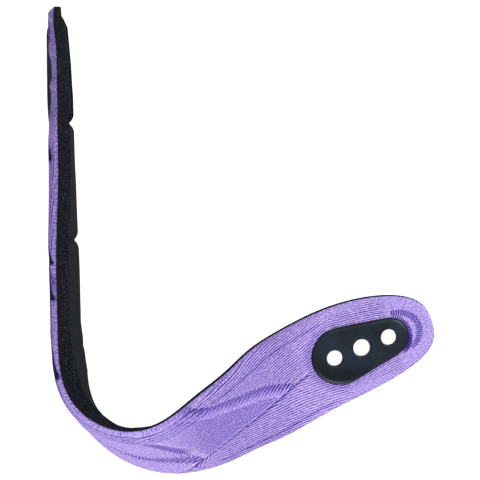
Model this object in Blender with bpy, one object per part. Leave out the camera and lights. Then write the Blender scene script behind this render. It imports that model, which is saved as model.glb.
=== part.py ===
# Padded wrap strap with a three-hole end plate at each end.
#
# The strap is drawn flat first, in its own coordinates:
#   s  along the length, from the tip of end A (0) to the tip of end B (LENGTH)
#   f  across the width, -1 to 1, as a fraction of the half width at s
#   w  through the thickness, 0 on the seam, positive on the knitted outer side
# and is then carried to its resting shape: end A stands on its long edge, the
# middle bends round and twists, and end B lies flat on its padded side.
# Metres, +Z up.  The origin is the middle of the footprint, on the ground.

import bpy
import bmesh
import math
from mathutils import Vector, Matrix

# ---------------------------------------------------------------- dimensions
LENGTH = 0.4190              # tip to tip along the strap
HALF_W = 0.0251              # half of the 50 mm webbing-class width
END_TAPER = 0.0603           # length over which each end narrows to its round tip
END_POWER = 2.78             # fullness of that round tip

CROWN = 0.0054               # height of the quilted outer side above the seam
PAD = 0.0072                 # depth of the foam side below the seam
PAD_TIP = 0.0046             # the same near the tips, where it is thinner
PAD_RAMP = 0.045             # distance from the tip at which the pad is full
RIM = 0.0004                 # how far the lining stands out past the cover's edge
FLANGE = 0.0012              # thickness of the lining's flat margin
SKIN = 0.0008                # thickness of the lining over the foam
CLEAR = 0.0003               # gap between pieces that touch

WEB_BOTTOM, WEB_TOP = -0.0001, 0.00115   # tension web, inside the strap
WEB_HALF = 0.75              # its half width as a fraction of the strap's
RECESS_TOP = 0.0015          # roof of the hollow in the cover that holds the web
WALL = 0.80                  # where that hollow's side wall is, as a fraction

# resting shape, plan view: heading, then turns (degrees, from s, to s)
START = (-0.09643, 0.12297)
HEADING = -88.5
TURNS = ((30.0, 0.170, 0.230), (91.0, 0.178, 0.313), (-14.0, 0.308, 0.415))
# resting shape, lean of the width above the ground (90 stands on edge, 0 lies flat)
LEAN = 87.5
LEANS = ((5.5, 0.070, 0.147), (-64.5, 0.167, 0.334), (-28.5, 0.296, 0.348))
GROUND_GAP = 0.0

# the six V grooves where the padding folds
GROOVES = (0.0672, 0.1205, 0.1785, LENGTH - 0.1785, LENGTH - 0.1205, LENGTH - 0.0715)
AXIS_W = 0.0005              # the fold axis lies in the tension web
FOLD_IN, FOLD_OUT = 22.0, 20.0   # degrees each groove folds towards / away from the padding

# end plate, in its own x (along the strap, away from the tip is negative), y
PLATE_AT_A, PLATE_AT_B = 0.0358, 0.0401   # middle hole to the strap's tip, at each end
PLATE_SIDE = -0.0012         # the plates sit this much nearer the lower long edge
PITCH = 0.01535              # hole spacing
HOLE_R = (0.00425, 0.0046, 0.00425)
NOSE_C, NOSE_A, NOSE_B, NOSE_P = -0.0115, 0.0163, 0.0149, 2.0
TAIL_C, TAIL_R = 0.0161, 0.0100
SIDE_FROM, SIDE_TO = -0.0090, 0.0179
PLATE_BOTTOM, PLATE_EDGE, PLATE_TOP = 0.0034, 0.0052, 0.0060
PLATE_BEVEL = 0.0014
NECK_R = 0.0066
BACK_TOP, BACK_BOTTOM = -0.0004, -0.0020


def clear_scene():
    for ob in list(bpy.data.objects):
        bpy.data.objects.remove(ob, do_unlink=True)
    for block in (bpy.data.meshes, bpy.data.materials, bpy.data.curves):
        for b in list(block):
            block.remove(b)


# ---------------------------------------------------------------- the strap line
def ease(u):
    u = min(max(u, 0.0), 1.0)
    return u * u * u * (u * (6.0 * u - 15.0) + 10.0)


def heading(s):
    return math.radians(HEADING + sum(a * ease((s - p) / (q - p)) for a, p, q in TURNS))


def lean(s):
    return math.radians(LEAN + sum(a * ease((s - p) / (q - p)) for a, p, q in LEANS))


def rest_height(s):
    """Height of the seam line when the lower long edge or the pad rests on the ground."""
    t = lean(s)
    edge = (HALF_W + RIM) * math.sin(t) + FLANGE * math.cos(t)
    pad = 0.8 * HALF_W * math.sin(t) + PAD * math.cos(t)
    return (edge ** 14 + pad ** 14) ** (1.0 / 14.0) + GROUND_GAP


STEPS = 838


def make_line():
    pts, ds = [], LENGTH / STEPS
    x, y = START
    for i in range(STEPS + 1):
        s = i * ds
        z = rest_height(s)
        pts.append(Vector((x, y, z)))
        dz = rest_height(min(s + ds, LENGTH)) - z
        run = math.sqrt(max(ds * ds - dz * dz, 0.0))
        a = heading(s + 0.5 * ds)
        x += run * math.cos(a)
        y += run * math.sin(a)
    return pts


LINE = make_line()


def at(s):
    """Point on the seam line, and its along, width and outward directions."""
    u = min(max(s / LENGTH, 0.0), 1.0) * STEPS
    i = min(int(u), STEPS - 1)
    p = LINE[i].lerp(LINE[i + 1], u - i)
    j, k = max(i - 2, 0), min(i + 3, STEPS)
    t = (LINE[k] - LINE[j]).normalized()
    a, b = heading(s), lean(s)
    wide = Vector((-math.sin(a) * math.cos(b), math.cos(a) * math.cos(b), math.sin(b)))
    wide = (wide - t * wide.dot(t)).normalized()
    return p, t, wide, t.cross(wide)


def from_tip(s):
    return min(s, LENGTH - s)


def half_width(s):
    u = min(max(from_tip(s) / END_TAPER, 0.0), 1.0)
    return HALF_W * max(1.0 - (1.0 - u) ** 2, 0.0) ** (1.0 / END_POWER)


def crown(s):
    d = from_tip(s)
    e = min(max(d / 0.007, 0.0), 1.0)
    full = CROWN - 0.0004 * (1.0 - min(d / PAD_RAMP, 1.0))
    return 0.0009 + (full - 0.0009) * (1.0 - (1.0 - e) ** 2.4) ** 0.5


def fullness(s):
    """Exponent of the outer side's arch: a full crown in the middle, a rounder one under the plates."""
    return 5.0 - 2.6 * ease((0.082 - from_tip(s)) / 0.022)


def pad_depth(s):
    d = from_tip(s)
    full = PAD_TIP + (PAD - PAD_TIP) * min(d / PAD_RAMP, 1.0)
    e = min(max((d - 0.003) / 0.007, 0.0), 1.0)
    return FLANGE + 0.0004 + (full - FLANGE - 0.0004) * (1.0 - (1.0 - e) ** 2) ** 0.5


# ---------------------------------------------------------------- cross-sections (f or y, w)
ARC = (-1.0, -0.97, -0.88, -0.70, -0.40, 0.0, 0.40, 0.70, 0.88, 0.97, 1.0)
FLAT = (0.40, 0.0, -0.40)


def cover_section(s):
    h, c, base = half_width(s), crown(s), 0.5 * CLEAR
    roof = RECESS_TOP if from_tip(s) > 0.0085 else base
    ring = [(f * h, base + (c - base) * (1.0 - abs(f) ** fullness(s)) ** 0.5) for f in ARC]
    ring += [(WALL * h, base), ((WALL - 0.02) * h, roof)]
    ring += [(f * h, roof) for f in FLAT]
    ring += [(-(WALL - 0.02) * h, roof), (-WALL * h, base)]
    return ring


def web_section(s):
    h = half_width(s)
    fs = (-WEB_HALF, -0.40, 0.0, 0.40, WEB_HALF)
    return [(f * h, WEB_TOP) for f in fs] + [(f * h, WEB_BOTTOM) for f in reversed(fs)]


def pad_section(s):
    h, d = half_width(s), pad_depth(s)
    top, low = -0.00045, -(d - SKIN - CLEAR)
    ring = [(f * h, top) for f in (-0.79, -0.40, 0.0, 0.40, 0.79)]
    ring += [(0.775 * h, 0.5 * (top + low)), (0.71 * h, low)]
    ring += [(f * h, low) for f in FLAT]
    ring += [(-0.71 * h, low), (-0.775 * h, 0.5 * (top + low))]
    return ring


def lining_section(s):
    h, d = half_width(s), pad_depth(s)
    top = -0.5 * CLEAR
    floor = -(d - SKIN) if from_tip(s) > 0.0085 else top
    mid = 0.5 * (top + floor)
    ring = [(-h - RIM, top), (-0.835 * h, top), (-0.815 * h, mid), (-0.745 * h, floor)]
    ring += [(f * h, floor) for f in (-0.40, 0.0, 0.40)]
    ring += [(0.745 * h, floor), (0.815 * h, mid), (0.835 * h, top), (h + RIM, top)]
    ring += [(h + RIM, -FLANGE + 0.0002), (0.90 * h, -FLANGE), (0.865 * h, -0.5 * (FLANGE + d)), (0.82 * h, -d + min(0.0009, 0.3 * (d - FLANGE))), (0.76 * h, -d)]
    ring += [(f * h, -d) for f in FLAT]
    ring += [(-0.76 * h, -d), (-0.82 * h, -d + min(0.0009, 0.3 * (d - FLANGE))), (-0.865 * h, -0.5 * (FLANGE + d)), (-0.90 * h, -FLANGE), (-h - RIM, -FLANGE + 0.0002)]
    return ring


# ---------------------------------------------------------------- lofting
def gap_at(w):
    """Half the width of a V groove at height w, wide enough for the fold's range."""
    if w < AXIS_W:
        return CLEAR + (AXIS_W - w) * math.tan(math.radians(FOLD_IN / 2.0)) * 1.12
    return CLEAR + (w - AXIS_W) * math.tan(math.radians(FOLD_OUT / 2.0)) * 1.12


def place(s, y, w, along=0.0):
    p, t, wide, out = at(s)
    return p + wide * y + out * w + t * along


def loft(name, section, stations, low_groove, high_groove):
    """A closed body through the sections at the stations; its groove ends are flat V faces."""
    bm = bmesh.new()
    rings = []
    last = len(stations) - 1
    for i, s in enumerate(stations):
        ring = []
        for y, w in section(s):
            along = 0.0
            if i == 0 and low_groove:
                along = gap_at(w)
            if i == last and high_groove:
                along = -gap_at(w)
            ring.append(bm.verts.new(place(s, y, w, along)))
        rings.append(ring)
    n = len(rings[0])
    for a, b in zip(rings[:-1], rings[1:]):
        for i in range(n):
            j = (i + 1) % n
            bm.faces.new((a[i], a[j], b[j], b[i]))
    bm.faces.new(rings[0])
    bm.faces.new(rings[-1])
    bm.normal_update()
    bmesh.ops.triangulate(bm, faces=[f for f in bm.faces if len(f.verts) > 4])
    bmesh.ops.recalc_face_normals(bm, faces=bm.faces)
    return finish(name, bm, 40.0)


def finish(name, bm, sharp):
    me = bpy.data.meshes.new(name)
    bm.to_mesh(me)
    bm.free()
    ob = bpy.data.objects.new(name, me)
    bpy.context.collection.objects.link(ob)
    me.shade_smooth()
    me.set_sharp_from_angle(angle=math.radians(sharp))
    return ob


def between(a, b, step):
    n = max(1, int(round((b - a) / step)))
    return [a + (b - a) * i / n for i in range(n + 1)]


TIP_STATIONS = (0.0003, 0.0012, 0.0026, 0.0048, 0.0084, 0.0088, 0.013, 0.019, 0.028, 0.042, 0.056)


def stations_for(k, start_at=0.0):
    edges = (0.0,) + GROOVES + (LENGTH,)
    a, b = edges[k], edges[k + 1]
    if k == 0:
        return [d for d in TIP_STATIONS if d >= start_at] + [b]
    if k == 6:
        return [a] + [LENGTH - d for d in reversed(TIP_STATIONS) if d >= start_at]
    step = (None, 0.017, 0.010, 0.0075, 0.0082, 0.012)[k]
    inner = between(a + 0.0055, b - 0.0055, step)
    return [a] + inner + [b]


# ---------------------------------------------------------------- end plates
def plate_half(x):
    if x <= SIDE_FROM:
        u = min(abs(x - NOSE_C) / NOSE_A, 1.0)
        return NOSE_B * (1.0 - u ** NOSE_P) ** (1.0 / NOSE_P)
    if x <= SIDE_TO:
        y0 = NOSE_B * (1.0 - ((SIDE_FROM - NOSE_C) / NOSE_A) ** NOSE_P) ** (1.0 / NOSE_P)
        y1 = math.sqrt(TAIL_R ** 2 - (SIDE_TO - TAIL_C) ** 2)
        return y0 + (y1 - y0) * (x - SIDE_FROM) / (SIDE_TO - SIDE_FROM)
    return math.sqrt(max(TAIL_R ** 2 - (x - TAIL_C) ** 2, 0.0))


def plate_outline(grow=0.0):
    """The teardrop outline, anticlockwise, moved outwards by grow."""
    xs = []
    lo, hi = NOSE_C - NOSE_A, TAIL_C + TAIL_R
    for i in range(10):
        xs.append(lo + (SIDE_FROM - lo) * (1.0 - math.cos(0.5 * math.pi * i / 9.0)))
    xs.append(0.5 * (SIDE_FROM + SIDE_TO))
    for i in range(7):
        xs.append(SIDE_TO + (hi - SIDE_TO) * math.sin(0.5 * math.pi * i / 6.0))
    upper = [(x, plate_half(x)) for x in xs]
    pts = [(x, -y) for x, y in upper] + [(x, y) for x, y in reversed(upper[1:-1])]
    if grow == 0.0:
        return pts
    out, n = [], len(pts)
    for i in range(n):
        ax, ay = pts[i - 1]
        bx, by = pts[(i + 1) % n]
        dx, dy = bx - ax, by - ay
        m = math.hypot(dx, dy)
        out.append((pts[i][0] + grow * dy / m, pts[i][1] - grow * dx / m))
    return out


def stadium(r, n=8):
    pts = []
    for i in range(n + 1):
        a = -0.5 * math.pi + math.pi * i / n
        pts.append((PITCH + r * math.cos(a), r * math.sin(a)))
    for i in range(n + 1):
        a = 0.5 * math.pi + math.pi * i / n
        pts.append((-PITCH + r * math.cos(a), r * math.sin(a)))
    return pts


def end_frame(end):
    """Frame of an end plate: x towards the tip, y across, z outward, at the middle hole."""
    s = PLATE_AT_A if end == "a" else LENGTH - PLATE_AT_B
    p, t, wide, out = at(s)
    x = -t if end == "a" else t
    y = -wide if end == "a" else wide
    m = Matrix((x, y, out)).transposed().to_4x4()
    m.translation = p + wide * PLATE_SIDE
    return m


def prism(name, rings, sharp=40.0):
    """A closed body through outlines given as (points, height)."""
    bm = bmesh.new()
    loops = [[bm.verts.new((x, y, z)) for x, y in pts] for pts, z in rings]
    n = len(loops[0])
    for a, b in zip(loops[:-1], loops[1:]):
        for i in range(n):
            j = (i + 1) % n
            bm.faces.new((a[i], a[j], b[j], b[i]))
    bm.faces.new(loops[0])
    bm.faces.new(loops[-1])
    bmesh.ops.recalc_face_normals(bm, faces=bm.faces)
    return finish(name, bm, sharp)


def hide_cutter(ob):
    ob.hide_render = True
    ob.display_type = 'WIRE'
    ob.hide_set(False)


def cut(ob, cutter, how='DIFFERENCE'):
    m = ob.modifiers.new(how.lower() + "_" + cutter.name, 'BOOLEAN')
    m.operation = how
    m.solver = 'EXACT'
    m.object = cutter


def hole_cutter(name, x, r, lo, hi, frame, sides=32):
    bm = bmesh.new()
    bmesh.ops.create_cone(bm, cap_ends=True, segments=sides, radius1=r, radius2=r, depth=hi - lo,
                          matrix=Matrix.Translation((x, 0.0, 0.5 * (lo + hi))))
    ob = finish(name, bm, 40.0)
    ob.matrix_world = frame
    hide_cutter(ob)
    return ob


def material(name, colour, rough, metal=0.0):
    m = bpy.data.materials.new(name)
    m.use_nodes = True
    b = m.node_tree.nodes["Principled BSDF"]
    b.inputs["Base Color"].default_value = (*colour, 1.0)
    b.inputs["Roughness"].default_value = rough
    b.inputs["Metallic"].default_value = metal
    return m


def wear(ob, mat):
    ob.data.materials.clear()
    ob.data.materials.append(mat)


# ---------------------------------------------------------------- build
def main():
    clear_scene()
    lilac = material("knit_lilac", (0.34, 0.25, 0.63), 0.85)
    charcoal = material("lining_charcoal", (0.017, 0.020, 0.028), 0.8)
    foam = material("foam_grey", (0.10, 0.10, 0.11), 0.95)
    nylon = material("web_black", (0.012, 0.012, 0.014), 0.6)
    black = material("plate_black", (0.018, 0.022, 0.028), 0.42)

    hubs = []
    for k in range(7):
        hub = bpy.data.objects.new("hub_%d" % (k + 1), None)
        bpy.context.collection.objects.link(hub)
        hub.empty_display_size = 0.01
        # each hub sits on the fold axis that its section turns about; section 4 is the root
        if k < 3:
            hub.location = place(GROOVES[k], 0.0, AXIS_W)
        elif k == 3:
            hub.location = place(0.5 * LENGTH, 0.0, AXIS_W)
        else:
            hub.location = place(GROOVES[k - 1], 0.0, AXIS_W)
        hubs.append(hub)
    bpy.context.view_layer.update()

    def attach(ob, k):
        ob.parent = hubs[k]
        ob.matrix_parent_inverse = hubs[k].matrix_world.inverted()

    made = {}
    for k in range(7):
        lo, hi = k > 0, k < 6
        end_only = 0.0088 if k in (0, 6) else 0.0
        n = k + 1
        made["cover", k] = loft("knit_cover_%d" % n, cover_section, stations_for(k), lo, hi)
        made["lining", k] = loft("lining_%d" % n, lining_section, stations_for(k), lo, hi)
        made["web", k] = loft("tension_web_%d" % n, web_section, stations_for(k, end_only), lo, hi)
        made["pad", k] = loft("foam_pad_%d" % n, pad_section, stations_for(k, 0.0125 if end_only else 0.0), lo, hi)
        wear(made["cover", k], lilac)
        wear(made["lining", k], charcoal)
        wear(made["web", k], nylon)
        wear(made["pad", k], foam)
        for part in ("cover", "lining", "web", "pad"):
            attach(made[part, k], k)

    for end, k in (("a", 0), ("b", 6)):
        frame = end_frame(end)
        pocket = prism("cut_pocket_" + end, [(plate_outline(0.0004), PLATE_BOTTOM - CLEAR), (plate_outline(0.0004), 0.012)])
        slot = prism("cut_slot_" + end, [(stadium(NECK_R + 0.0004), -0.001), (stadium(NECK_R + 0.0004), 0.012)])
        dish = prism("cut_dish_" + end, [(plate_outline(0.0008), -0.012), (plate_outline(0.0008), 0.0)])
        foam_dish = prism("cut_foam_" + end, [(plate_outline(0.0016), -0.012), (plate_outline(0.0016), 0.0)])
        for c in (pocket, slot, dish, foam_dish):
            c.matrix_world = frame
            hide_cutter(c)
        cut(made["cover", k], pocket)
        cut(made["cover", k], slot)
        cut(made["web", k], slot)
        cut(made["pad", k], foam_dish)
        cut(made["lining", k], dish)

        plate = prism("end_plate_" + end, [
            (plate_outline(), PLATE_BOTTOM), (plate_outline(), PLATE_EDGE),
            (plate_outline(-0.35 * PLATE_BEVEL), PLATE_EDGE + 0.7 * (PLATE_TOP - PLATE_EDGE)),
            (plate_outline(-PLATE_BEVEL), PLATE_TOP)], 50.0)
        plate.matrix_world = frame
        neck = prism("neck_" + end, [(stadium(NECK_R), BACK_TOP + CLEAR), (stadium(NECK_R), PLATE_BOTTOM + 0.0006)])
        neck.matrix_world = frame
        hide_cutter(neck)
        cut(plate, neck, 'UNION')
        back = prism("backing_plate_" + end, [
            (plate_outline(-0.0008), BACK_TOP), (plate_outline(), BACK_TOP - 0.0005),
            (plate_outline(), BACK_BOTTOM + 0.0004), (plate_outline(-0.0004), BACK_BOTTOM)], 50.0)
        back.matrix_world = frame
        for i, r in enumerate(HOLE_R):
            c = hole_cutter("cut_hole_%s%d" % (end, i + 1), (i - 1) * PITCH, r, -0.006, 0.012, frame)
            cut(plate, c)
            cut(back, c)
        for ob in (plate, back):
            wear(ob, black)
            attach(ob, k)


main()
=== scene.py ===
import math
import bpy
import bmesh
import numpy as np
from mathutils import Matrix, Vector
from mathutils.geometry import delaunay_2d_cdt


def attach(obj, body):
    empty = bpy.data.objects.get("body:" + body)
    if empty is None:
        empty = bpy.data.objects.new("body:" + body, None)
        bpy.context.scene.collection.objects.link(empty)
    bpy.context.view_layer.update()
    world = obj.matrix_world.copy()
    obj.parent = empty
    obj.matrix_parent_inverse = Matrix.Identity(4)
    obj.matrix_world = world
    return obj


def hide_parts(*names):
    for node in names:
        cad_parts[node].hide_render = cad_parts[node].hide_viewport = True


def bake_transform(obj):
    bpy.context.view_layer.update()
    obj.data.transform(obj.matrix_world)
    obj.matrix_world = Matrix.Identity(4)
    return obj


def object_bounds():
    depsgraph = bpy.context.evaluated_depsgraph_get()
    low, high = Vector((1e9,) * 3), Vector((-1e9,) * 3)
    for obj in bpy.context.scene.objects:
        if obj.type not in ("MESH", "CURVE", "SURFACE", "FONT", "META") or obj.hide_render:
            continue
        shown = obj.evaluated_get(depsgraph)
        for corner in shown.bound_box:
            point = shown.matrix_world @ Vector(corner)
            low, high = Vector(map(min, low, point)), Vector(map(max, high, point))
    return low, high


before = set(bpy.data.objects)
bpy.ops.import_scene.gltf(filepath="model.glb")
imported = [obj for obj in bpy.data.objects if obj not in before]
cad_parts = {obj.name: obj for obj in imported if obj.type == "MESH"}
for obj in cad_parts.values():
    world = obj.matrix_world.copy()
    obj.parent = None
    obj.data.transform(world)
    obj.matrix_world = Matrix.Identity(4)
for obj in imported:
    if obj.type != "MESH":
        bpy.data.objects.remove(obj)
bpy.context.view_layer.update()
cad_lo, cad_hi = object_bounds()

# The strap is described flat, as in the CAD source, and carried to its resting shape:
#   s along the length, y across it, w outwards through the thickness.
MM = 0.001
LENGTH, HALF_W = 0.4190, 0.0251
END_TAPER, END_POWER = 0.0603, 2.78
CROWN, PAD, PAD_TIP, PAD_RAMP = 0.0054, 0.0072, 0.0046, 0.045
RIM, FLANGE, SKIN, CLEAR = 0.0005, 0.0012, 0.0008, 0.0003
START, HEADING = (-0.09643, 0.12297), -88.5
TURNS = ((30.0, 0.170, 0.230), (91.0, 0.178, 0.313), (-14.0, 0.308, 0.415))
LEAN = 87.5
LEANS = ((5.5, 0.070, 0.147), (-64.5, 0.167, 0.334), (-28.5, 0.296, 0.348))
CAD_RIM = 0.0004
GROOVES = (0.0672, 0.1205, 0.1785, LENGTH - 0.1785, LENGTH - 0.1205, LENGTH - 0.0715)
# where the creases pressed into the padding cross its face
CREASE_DEPTH = (3.0, 2.3, 0.5, 0.4, 2.6, 2.6)
CREASES = (0.0595, 0.1215, 0.1775, LENGTH - 0.1775, LENGTH - 0.1185, LENGTH - 0.0595)
AXIS_W = 0.0005
PLATE_AT_A, PLATE_AT_B, PLATE_SIDE, PITCH = 0.0358, 0.0401, -0.0012, 0.01535
HOLE_R = (0.00425, 0.0046, 0.00425)
NOSE_C, NOSE_A, NOSE_B, NOSE_P = -0.0115, 0.0163, 0.0149, 2.0
TAIL_C, TAIL_R = 0.0161, 0.0100
SIDE_FROM, SIDE_TO = -0.0090, 0.0179
PLATE_BOTTOM, PLATE_TOP = 0.0034, 0.0060
NECK_R, BACK_TOP, BACK_BOTTOM = 0.0066, -0.0004, -0.0020

RIB = 1.15                    # mm between the ribs of the knit


# ---------------------------------------------------------------- the strap line
def ease(u):
    u = np.clip(u, 0.0, 1.0)
    return u * u * u * (u * (6.0 * u - 15.0) + 10.0)


def smooth(u):
    u = np.clip(u, 0.0, 1.0)
    return u * u * (3.0 - 2.0 * u)


def heading(s):
    return np.radians(HEADING + sum(a * ease((s - p) / (q - p)) for a, p, q in TURNS))


def lean(s):
    return np.radians(LEAN + sum(a * ease((s - p) / (q - p)) for a, p, q in LEANS))


def rest_height(s):
    t = lean(s)
    edge = (HALF_W + CAD_RIM) * np.sin(t) + FLANGE * np.cos(t)
    pad = 0.8 * HALF_W * np.sin(t) + PAD * np.cos(t)
    return (edge ** 14 + pad ** 14) ** (1.0 / 14.0)


STEPS = 838
DS = LENGTH / STEPS


def make_line():
    s = np.arange(STEPS + 1) * DS
    z = rest_height(s)
    dz = np.diff(z)
    run = np.sqrt(np.maximum(DS * DS - dz * dz, 0.0))
    a = heading(s[:-1] + 0.5 * DS)
    x = START[0] + np.concatenate([[0.0], np.cumsum(run * np.cos(a))])
    y = START[1] + np.concatenate([[0.0], np.cumsum(run * np.sin(a))])
    pts = np.stack([x, y, z], 1)
    climb = np.gradient(z, DS)
    flat = np.sqrt(1.0 - climb * climb)
    h = heading(s)
    tan = np.stack([flat * np.cos(h), flat * np.sin(h), climb], 1)
    return pts, tan


LINE, LINE_T = make_line()


def at(s):
    """Points on the seam line with their along, width and outward directions."""
    s = np.clip(np.asarray(s, float), 0.0, LENGTH)
    i = np.minimum((s / DS).astype(int), STEPS - 1)
    t = (s / DS - i)[..., None]
    a, b, ta, tb = LINE[i], LINE[i + 1], LINE_T[i] * DS, LINE_T[i + 1] * DS
    p = (a * (2 * t ** 3 - 3 * t ** 2 + 1) + ta * (t ** 3 - 2 * t ** 2 + t)
         + b * (3 * t ** 2 - 2 * t ** 3) + tb * (t ** 3 - t ** 2))
    along = LINE_T[i] * (1 - t) + LINE_T[i + 1] * t
    along /= np.linalg.norm(along, axis=-1, keepdims=True)
    h, b = heading(s), lean(s)
    wide = np.stack([-np.sin(h) * np.cos(b), np.cos(h) * np.cos(b), np.sin(b)], -1)
    wide -= along * (wide * along).sum(-1, keepdims=True)
    wide /= np.linalg.norm(wide, axis=-1, keepdims=True)
    return p, along, wide, np.cross(along, wide)


def place(s, y, w):
    p, along, wide, out = at(s)
    return p + wide * np.asarray(y)[..., None] + out * np.asarray(w)[..., None]


def from_tip(s):
    return np.minimum(s, LENGTH - s)


def half_width(s):
    u = np.clip(from_tip(s) / END_TAPER, 0.0, 1.0)
    return HALF_W * np.maximum(1.0 - (1.0 - u) ** 2, 1e-12) ** (1.0 / END_POWER)


def crown(s):
    d = from_tip(s)
    e = np.clip(d / 0.007, 0.0, 1.0)
    full = CROWN - 0.0004 * (1.0 - np.minimum(d / PAD_RAMP, 1.0))
    return 0.0009 + (full - 0.0009) * np.sqrt(1.0 - (1.0 - e) ** 2.4)


def fullness(s):
    return 5.0 - 2.6 * ease((0.082 - from_tip(s)) / 0.022)


def pad_depth(s):
    d = from_tip(s)
    full = PAD_TIP + (PAD - PAD_TIP) * np.minimum(d / PAD_RAMP, 1.0)
    e = np.clip((d - 0.003) / 0.007, 0.0, 1.0)
    return FLANGE + 0.0004 + (full - FLANGE - 0.0004) * np.sqrt(1.0 - (1.0 - e) ** 2)


# ---------------------------------------------------------------- end plates in plan
def plate_half(x):
    if x <= SIDE_FROM:
        u = min(abs(x - NOSE_C) / NOSE_A, 1.0)
        return NOSE_B * (1.0 - u ** NOSE_P) ** (1.0 / NOSE_P)
    if x <= SIDE_TO:
        y0 = NOSE_B * (1.0 - ((SIDE_FROM - NOSE_C) / NOSE_A) ** NOSE_P) ** (1.0 / NOSE_P)
        y1 = math.sqrt(TAIL_R ** 2 - (SIDE_TO - TAIL_C) ** 2)
        return y0 + (y1 - y0) * (x - SIDE_FROM) / (SIDE_TO - SIDE_FROM)
    return math.sqrt(max(TAIL_R ** 2 - (x - TAIL_C) ** 2, 0.0))


def resample(pts, n):
    """A closed outline as n points evenly spaced along it."""
    p = np.vstack([pts, pts[:1]])
    d = np.concatenate([[0.0], np.cumsum(np.linalg.norm(np.diff(p, axis=0), axis=1))])
    t = np.arange(n) * d[-1] / n
    return np.stack([np.interp(t, d, p[:, 0]), np.interp(t, d, p[:, 1])], 1)


def rounded(pts, times):
    for _ in range(times):
        pts = 0.5 * pts + 0.25 * (np.roll(pts, 1, 0) + np.roll(pts, -1, 0))
    return pts


def offset(pts, grow):
    t = np.roll(pts, -1, 0) - np.roll(pts, 1, 0)
    t /= np.linalg.norm(t, axis=1, keepdims=True)
    return pts + grow * np.stack([t[:, 1], -t[:, 0]], 1)


def plate_outline(n=180):
    """The teardrop, anticlockwise, with its corners eased."""
    lo, hi = NOSE_C - NOSE_A, TAIL_C + TAIL_R
    u = np.linspace(0.0, math.pi, 160)
    xs = lo + (hi - lo) * 0.5 * (1.0 - np.cos(u))
    ys = np.array([plate_half(x) for x in xs])
    pts = np.vstack([np.stack([xs, -ys], 1), np.stack([xs, ys], 1)[-2:0:-1]])
    return rounded(resample(pts, n), 14)


OUTLINE = plate_outline()


def stadium(r, n=20):
    a = np.linspace(-0.5 * math.pi, 0.5 * math.pi, n)
    right = np.stack([PITCH + r * np.cos(a), r * np.sin(a)], 1)
    a = a + math.pi
    left = np.stack([-PITCH + r * np.cos(a), r * np.sin(a)], 1)
    return resample(np.vstack([right, left]), 96)


def nearest(px, py, poly):
    """Signed distance to a closed outline (inside is negative) and its nearest point."""
    a, b = poly, np.roll(poly, -1, 0)
    d = b - a
    ll = (d ** 2).sum(1)
    px, py = np.asarray(px, float), np.asarray(py, float)
    best = np.full(px.shape, 1e9)
    nx, ny = np.zeros(px.shape), np.zeros(px.shape)
    cross = np.zeros(px.shape, int)
    for k in range(len(a)):
        ex, ey = px - a[k, 0], py - a[k, 1]
        t = np.clip((ex * d[k, 0] + ey * d[k, 1]) / ll[k], 0.0, 1.0)
        qx, qy = a[k, 0] + t * d[k, 0], a[k, 1] + t * d[k, 1]
        m = (px - qx) ** 2 + (py - qy) ** 2
        u = m < best
        best = np.where(u, m, best)
        nx, ny = np.where(u, qx, nx), np.where(u, qy, ny)
        up = (a[k, 1] > py) != (b[k, 1] > py)
        if up.any():
            xx = a[k, 0] + (py - a[k, 1]) * d[k, 0] / (d[k, 1] if d[k, 1] else 1e-12)
            cross += (up & (px < xx)).astype(int)
    dist = np.sqrt(best)
    return np.where(cross % 2 == 1, -dist, dist), nx, ny


def end_frame(end):
    s = PLATE_AT_A if end == "a" else LENGTH - PLATE_AT_B
    p, t, wide, out = (v[0] for v in at(np.array([s])))
    x, y = (-t, -wide) if end == "a" else (t, wide)
    m = np.eye(4)
    m[:3, 0], m[:3, 1], m[:3, 2] = x, y, out
    m[:3, 3] = p + wide * PLATE_SIDE
    return m


ENDS = {"a": end_frame("a"), "b": end_frame("b")}


def to_plate(end, s, y):
    """Seam points in the end plate's own x and y."""
    m = ENDS[end]
    v = place(s, y, np.zeros_like(s)) - m[:3, 3]
    return v @ m[:3, 0], v @ m[:3, 1]


# ---------------------------------------------------------------- the quilted relief (mm)
def curve(points, n=14):
    """A smooth line through given points."""
    p = np.array(points, float)
    q = np.vstack([2 * p[0] - p[1], p, 2 * p[-1] - p[-2]])
    out = []
    for i in range(1, len(q) - 2):
        for k in range(n):
            t = k / n
            out.append(0.5 * (2 * q[i] + (q[i + 1] - q[i - 1]) * t
                              + (2 * q[i - 1] - 5 * q[i] + 4 * q[i + 1] - q[i + 2]) * t * t
                              + (3 * q[i] - q[i - 1] - 3 * q[i + 1] + q[i + 2]) * t ** 3))
    out.append(p[-1])
    return np.array(out)


# the quilting lines of one half, from the strap's middle (209.5) towards the tip (419)
LINE_P = curve([(238, 27.5), (243, 21.3), (256, 11.3), (267, 2.0), (273, -3.0), (278.5, -11.0)])
LINE_R = curve([(279, 24.0), (290, 18.4), (300, 15.0), (320, 6.3), (333.5, -1.0)])
LINE_Q = curve([(263, -26.0), (270, -19.5), (275, -14.8), (281, -10.4), (290, -8.1), (300, -6.1), (330, -3.7), (352, -1.2)])
LINE_D = curve([(209.5, -0.4), (235, -1.3), (247, -2.9), (260, -5.2), (270, -8.8), (279, -13.0)])


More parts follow.
